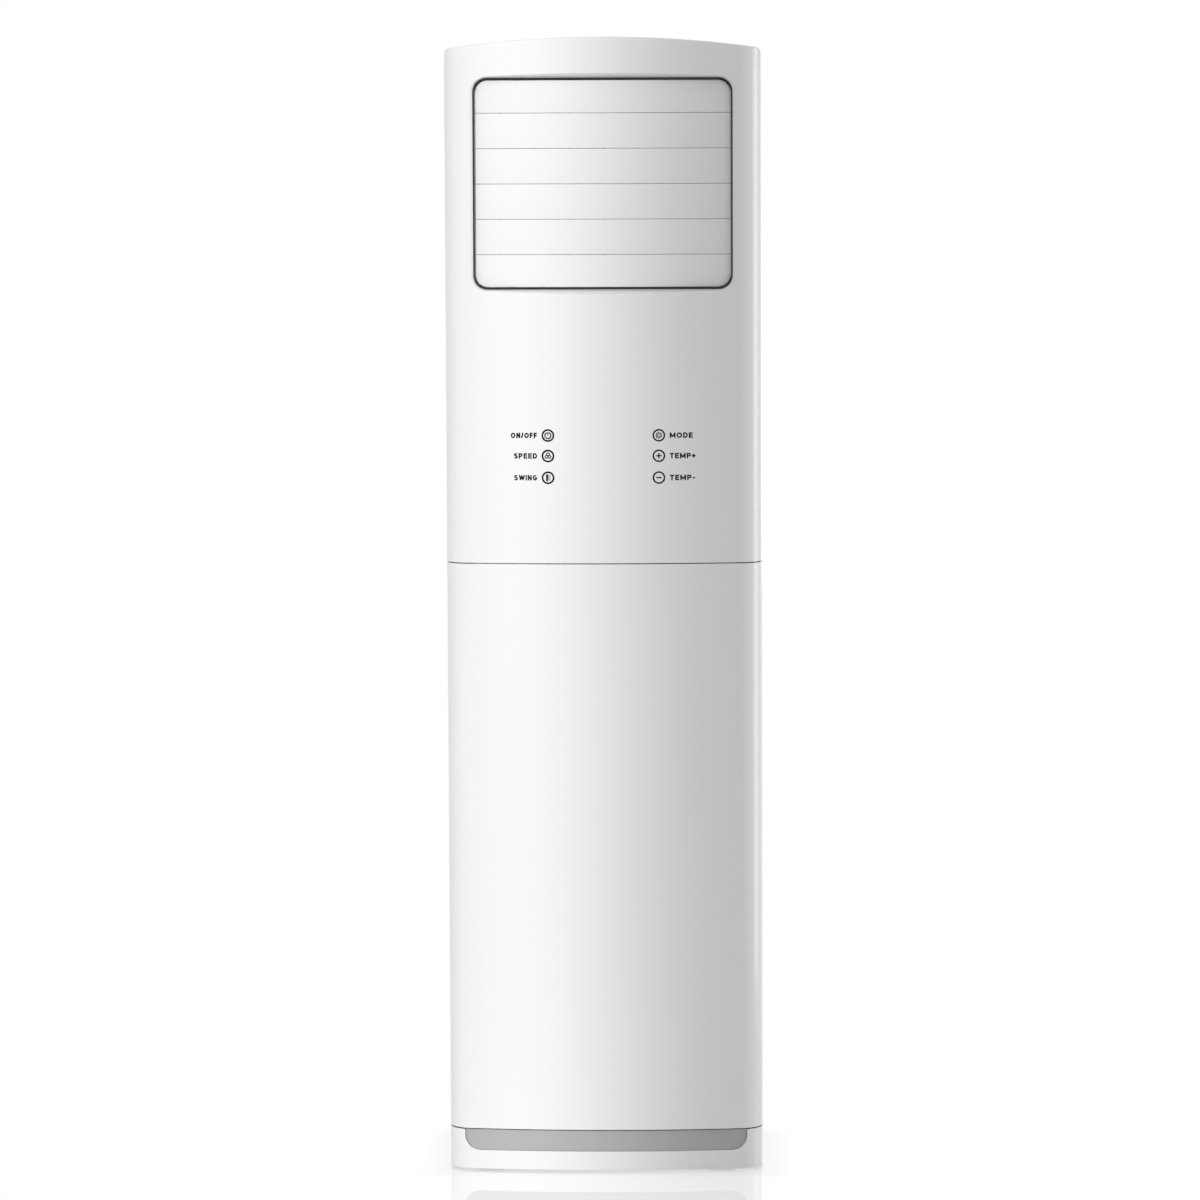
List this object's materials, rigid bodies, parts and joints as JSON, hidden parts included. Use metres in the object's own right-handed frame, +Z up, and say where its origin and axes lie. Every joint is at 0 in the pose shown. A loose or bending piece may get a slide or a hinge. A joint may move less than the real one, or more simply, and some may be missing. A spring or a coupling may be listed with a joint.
{
  "type": "floor standing air conditioner",
  "caption": "Tall white floor standing air conditioner with a slatted outlet window at the top, touch keys, a lower door and a plinth.",
  "frame": {"origin": "on the floor, under the middle of the cabinet's footprint", "axes": "+Z up, -Y towards the front with the outlet window, +X to the right as seen from the front"},
  "size_m": [0.5, 0.32, 1.8],
  "materials": {
    "white_moulding": "smooth gloss white moulding",
    "white_slat": "satin white moulding",
    "white_sheet": "satin white powder coat",
    "grey_moulding": "light grey moulding",
    "black_rubber": "matt black rubber",
    "zinc_sheet": "zinc plated sheet",
    "dark_moulding": "matt dark grey moulding",
    "foam_moulding": "matt pale moulding",
    "grey_housing": "matt grey moulding",
    "net": "nylon net",
    "aluminium_fins": "thin fins",
    "copper": "drawn copper tube",
    "brass": "turned brass",
    "steel": "ground steel",
    "motor_paint": "dark enamel",
    "hose_plastic": "pale hose",
    "circuit_board": "green board",
    "can": "drawn can"
  },
  "bodies": {
    "root": {"plinth": "white_moulding", "top_cover": "white_moulding", "upper_front_panel": "white_moulding", "side_panel_left": "white_sheet", "side_panel_right": "white_sheet", "back_panel": "white_sheet", "plinth_insert": "grey_moulding", "window_gasket": "black_rubber", "feet": "black_rubber", "base_pan": "zinc_sheet", "fan_deck": "zinc_sheet", "evaporator_end_plates": "zinc_sheet", "electrical_box": "zinc_sheet", "electrical_box_cover": "zinc_sheet", "motor_bracket": "zinc_sheet", "back_screws": "zinc_sheet", "door_hinge_pins": "zinc_sheet", "vane_frame": "dark_moulding", "slat_motor": "dark_moulding", "vane_motor": "dark_moulding", "door_catches": "dark_moulding", "cable_gland": "dark_moulding", "terminal_block": "dark_moulding", "outlet_duct": "foam_moulding", "drain_pan": "foam_moulding", "blower_housing": "grey_housing", "inlet_ring": "grey_housing", "filter_rails": "grey_housing", "evaporator_fins": "aluminium_fins", "evaporator_tubes": "copper", "gas_pipe": "copper", "liquid_pipe": "copper", "pipe_unions": "brass", "fan_motor": "motor_paint", "drain_hose": "hose_plastic", "touch_board": "circuit_board", "main_board": "circuit_board", "capacitor": "can"},
    "door": {"lower_front_door": "white_moulding"},
    "blower": {"blower_wheel": "dark_moulding", "blower_shaft": "steel"},
    "filter": {"filter_frame": "grey_housing", "filter_mesh": "net"},
    "slat_link": {"slat_link_bar": "dark_moulding"},
    "vane_link": {"vane_link_rod": "dark_moulding"},
    "slat_1": {"slat_1": "white_slat"},
    "slat_2": {"slat_2": "white_slat"},
    "slat_3": {"slat_3": "white_slat"},
    "slat_4": {"slat_4": "white_slat"},
    "slat_5": {"slat_5": "white_slat"},
    "slat_6": {"slat_6": "white_slat"},
    "vane_1": {"vane_1": "dark_moulding"},
    "vane_2": {"vane_2": "dark_moulding"},
    "vane_3": {"vane_3": "dark_moulding"},
    "vane_4": {"vane_4": "dark_moulding"},
    "vane_5": {"vane_5": "dark_moulding"},
    "vane_6": {"vane_6": "dark_moulding"},
    "vane_7": {"vane_7": "dark_moulding"}
  },
  "joints": [
    {"name": "door_hinge", "type": "hinge", "parent": "root", "child": "door", "pos_m": [-0.245, -0.061, 0.515], "axis": [0, 0, -1], "range_deg": [0, 100]},
    {"name": "blower_spin", "type": "hinge", "parent": "root", "child": "blower", "pos_m": [0, 0.05, 0.6], "axis": [0, 1, 0], "continuous": true},
    {"name": "filter_lift", "type": "slide", "parent": "root", "child": "filter", "axis": [0, 0, 1], "range_m": [0, 0.025]},
    {"name": "slat_1_tilt", "type": "hinge", "parent": "root", "child": "slat_1", "pos_m": [0, -0.1295, 1.4322], "axis": [-1, 0, 0], "range_deg": [0, 80]},
    {"name": "slat_2_tilt", "type": "hinge", "parent": "root", "child": "slat_2", "pos_m": [0, -0.1295, 1.4876], "axis": [-1, 0, 0], "range_deg": [0, 80]},
    {"name": "slat_3_tilt", "type": "hinge", "parent": "root", "child": "slat_3", "pos_m": [0, -0.1295, 1.543], "axis": [-1, 0, 0], "range_deg": [0, 80]},
    {"name": "slat_4_tilt", "type": "hinge", "parent": "root", "child": "slat_4", "pos_m": [0, -0.1295, 1.5984], "axis": [-1, 0, 0], "range_deg": [0, 80]},
    {"name": "slat_5_tilt", "type": "hinge", "parent": "root", "child": "slat_5", "pos_m": [0, -0.1295, 1.6538], "axis": [-1, 0, 0], "range_deg": [0, 80]},
    {"name": "slat_6_tilt", "type": "hinge", "parent": "root", "child": "slat_6", "pos_m": [0, -0.1295, 1.7092], "axis": [-1, 0, 0], "range_deg": [0, 80]},
    {"name": "slat_link_pivot", "type": "hinge", "parent": "slat_1", "child": "slat_link", "pos_m": [0.2082, -0.1155, 1.4322], "axis": [-1, 0, 0], "range_deg": [-80, 0]},
    {"name": "vane_1_turn", "type": "hinge", "parent": "root", "child": "vane_1", "pos_m": [-0.162, -0.074, 1.5707], "axis": [0, 0, 1], "range_deg": [-35, 35]},
    {"name": "vane_2_turn", "type": "hinge", "parent": "root", "child": "vane_2", "pos_m": [-0.108, -0.074, 1.5707], "axis": [0, 0, 1], "range_deg": [-35, 35]},
    {"name": "vane_3_turn", "type": "hinge", "parent": "root", "child": "vane_3", "pos_m": [-0.054, -0.074, 1.5707], "axis": [0, 0, 1], "range_deg": [-35, 35]},
    {"name": "vane_4_turn", "type": "hinge", "parent": "root", "child": "vane_4", "pos_m": [0, -0.074, 1.5707], "axis": [0, 0, 1], "range_deg": [-35, 35]},
    {"name": "vane_5_turn", "type": "hinge", "parent": "root", "child": "vane_5", "pos_m": [0.054, -0.074, 1.5707], "axis": [0, 0, 1], "range_deg": [-35, 35]},
    {"name": "vane_6_turn", "type": "hinge", "parent": "root", "child": "vane_6", "pos_m": [0.108, -0.074, 1.5707], "axis": [0, 0, 1], "range_deg": [-35, 35]},
    {"name": "vane_7_turn", "type": "hinge", "parent": "root", "child": "vane_7", "pos_m": [0.162, -0.074, 1.5707], "axis": [0, 0, 1], "range_deg": [-35, 35]},
    {"name": "vane_link_pivot", "type": "hinge", "parent": "vane_1", "child": "vane_link", "pos_m": [-0.162, -0.058, 1.4425], "axis": [0, 0, 1], "range_deg": [-35, 35]}
  ],
  "couplings": [
    {"joint": "slat_2_tilt", "follows": "slat_1_tilt", "ratio": 1},
    {"joint": "slat_3_tilt", "follows": "slat_1_tilt", "ratio": 1},
    {"joint": "slat_4_tilt", "follows": "slat_1_tilt", "ratio": 1},
    {"joint": "slat_5_tilt", "follows": "slat_1_tilt", "ratio": 1},
    {"joint": "slat_6_tilt", "follows": "slat_1_tilt", "ratio": 1},
    {"joint": "slat_link_pivot", "follows": "slat_1_tilt", "ratio": -1},
    {"joint": "vane_2_turn", "follows": "vane_1_turn", "ratio": 1},
    {"joint": "vane_3_turn", "follows": "vane_1_turn", "ratio": 1},
    {"joint": "vane_4_turn", "follows": "vane_1_turn", "ratio": 1},
    {"joint": "vane_5_turn", "follows": "vane_1_turn", "ratio": 1},
    {"joint": "vane_6_turn", "follows": "vane_1_turn", "ratio": 1},
    {"joint": "vane_7_turn", "follows": "vane_1_turn", "ratio": 1},
    {"joint": "vane_link_pivot", "follows": "vane_1_turn", "ratio": -1}
  ]
}
